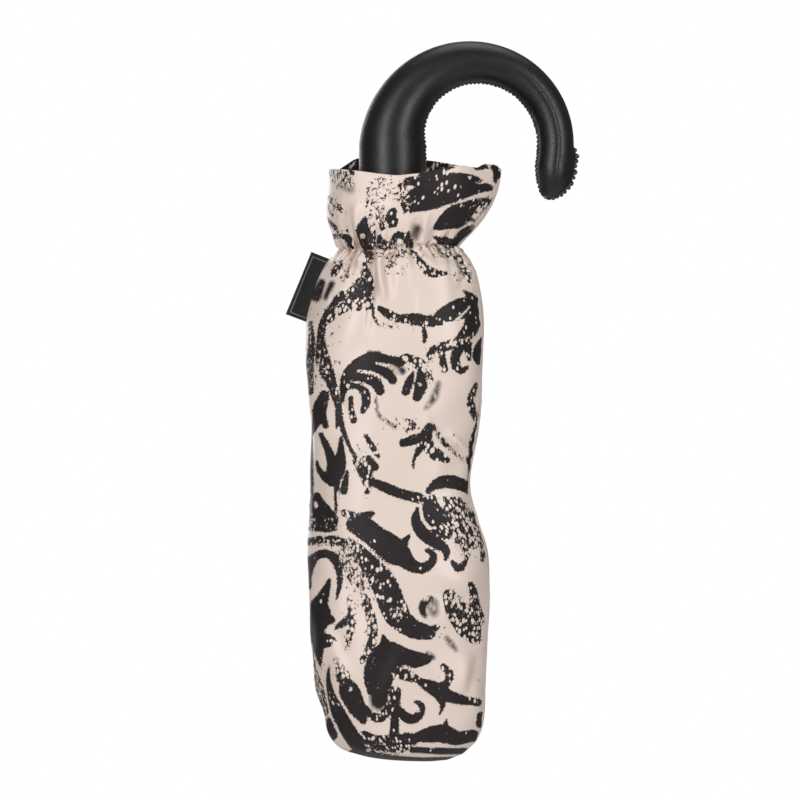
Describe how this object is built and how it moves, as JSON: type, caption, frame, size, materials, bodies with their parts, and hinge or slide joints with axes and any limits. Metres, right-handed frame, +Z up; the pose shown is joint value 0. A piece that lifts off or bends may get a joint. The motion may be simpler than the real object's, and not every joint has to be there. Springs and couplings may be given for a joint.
{
  "type": "folding umbrella",
  "caption": "Compact folding umbrella with a leather-wrapped crook handle, telescopic shaft and furled canopy, inside a printed fabric sleeve with a gathered neck and ruffled cuff.",
  "frame": {"origin": "on the shaft's axis, at the flat underside of the sleeve", "axes": "+Z up along the shaft from the sleeve's floor to the handle; +X towards the side the crook bends to; the release button faces -Y"},
  "size_m": [0.1297, 0.06, 0.3238],
  "materials": {
    "black_leather": "fine-grained black leather, semi-gloss, whip-stitched along the inside of the crook",
    "black_plastic": "satin black moulding",
    "plated_steel": "bright nickel plating",
    "black_steel": "black-coated steel",
    "printed_satin": "pale pink-beige satin printed with charcoal scrolls",
    "canopy_cloth": "the same printed cloth, furled",
    "elastic_webbing": "ribbed elastic tape",
    "woven_label": "black woven label, plain"
  },
  "bodies": {
    "handle": {"handle_cover": "black_leather", "handle_core": "black_plastic", "handle_collar": "plated_steel", "outer_tube": "plated_steel", "shaft_pin": "plated_steel", "button_spring": "plated_steel"},
    "button": {"push_button": "black_plastic"},
    "middle_shaft": {"middle_tube": "plated_steel"},
    "upper_shaft": {"inner_tube": "plated_steel", "crown": "black_plastic", "end_cap": "black_plastic", "runner": "black_plastic", "canopy": "canopy_cloth", "tie_strap": "printed_satin", "strap_snap": "plated_steel", "rib_inner_1": "black_steel", "rib_inner_2": "black_steel", "rib_inner_3": "black_steel", "rib_inner_4": "black_steel", "rib_inner_5": "black_steel", "rib_inner_6": "black_steel", "rib_inner_7": "black_steel", "rib_inner_8": "black_steel", "rib_middle_1": "black_steel", "rib_middle_2": "black_steel", "rib_middle_3": "black_steel", "rib_middle_4": "black_steel", "rib_middle_5": "black_steel", "rib_middle_6": "black_steel", "rib_middle_7": "black_steel", "rib_middle_8": "black_steel", "rib_outer_1": "black_steel", "rib_outer_2": "black_steel", "rib_outer_3": "black_steel", "rib_outer_4": "black_steel", "rib_outer_5": "black_steel", "rib_outer_6": "black_steel", "rib_outer_7": "black_steel", "rib_outer_8": "black_steel", "stretcher_1": "black_steel", "stretcher_2": "black_steel", "stretcher_3": "black_steel", "stretcher_4": "black_steel", "stretcher_5": "black_steel", "stretcher_6": "black_steel", "stretcher_7": "black_steel", "stretcher_8": "black_steel", "rib_tip_1": "black_plastic", "rib_tip_2": "black_plastic", "rib_tip_3": "black_plastic", "rib_tip_4": "black_plastic", "rib_tip_5": "black_plastic", "rib_tip_6": "black_plastic", "rib_tip_7": "black_plastic", "rib_tip_8": "black_plastic"},
    "sleeve": {"sleeve": "printed_satin", "sleeve_elastic": "elastic_webbing", "sleeve_label": "woven_label"}
  },
  "joints": [
    {"name": "button_press", "type": "slide", "parent": "handle", "child": "button", "axis": [0, 1, 0], "range_m": [0, 0.0015], "stiffness_N_per_m": 600, "springref_m": -0.001, "deforming": ["button_spring"]},
    {"name": "lower_telescope", "type": "slide", "parent": "handle", "child": "middle_shaft", "axis": [0, 0, -1], "range_m": [0, 0.165]},
    {"name": "upper_telescope", "type": "slide", "parent": "middle_shaft", "child": "upper_shaft", "axis": [0, 0, -1], "range_m": [0, 0.165]},
    {"name": "sleeve_pull", "type": "slide", "parent": "upper_shaft", "child": "sleeve", "axis": [0, 0, -1], "range_m": [0, 0.262]}
  ]
}
